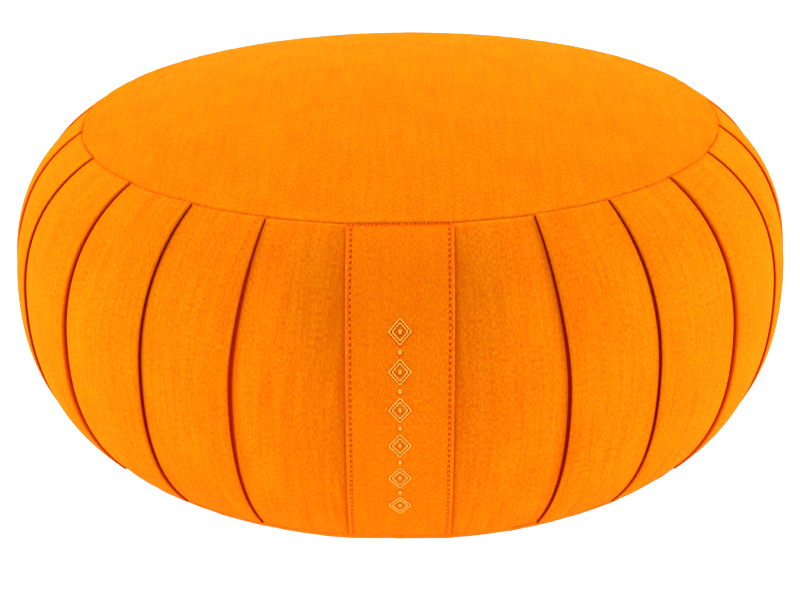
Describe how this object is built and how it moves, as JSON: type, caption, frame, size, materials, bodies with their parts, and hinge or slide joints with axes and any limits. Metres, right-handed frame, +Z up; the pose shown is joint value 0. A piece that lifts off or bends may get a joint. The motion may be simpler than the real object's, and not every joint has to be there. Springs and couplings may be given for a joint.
{
  "type": "zafu meditation cushion",
  "caption": "Round filled meditation cushion with a knife-pleated side, plain round top and base, and a stitched strip down the front.",
  "frame": {"origin": "centre of the flat base, on the surface that the cushion rests on", "axes": "+Z up through the crown, -Y out through the front strip, +X to the right when facing the strip"},
  "size_m": [0.3298, 0.3311, 0.15],
  "materials": {
    "canvas_side": "plain-woven cotton canvas, matt, bright orange",
    "canvas_top": "plain-woven cotton canvas, matt, bright orange",
    "canvas_base": "plain-woven cotton canvas, matt, bright orange",
    "twill_strip": "diagonal cotton twill with topstitched edges, slightly redder orange"
  },
  "bodies": {
    "root": {"pleated_side": "canvas_side", "top_panel": "canvas_top", "bottom_panel": "canvas_base", "front_strip": "twill_strip"}
  },
  "joints": []
}
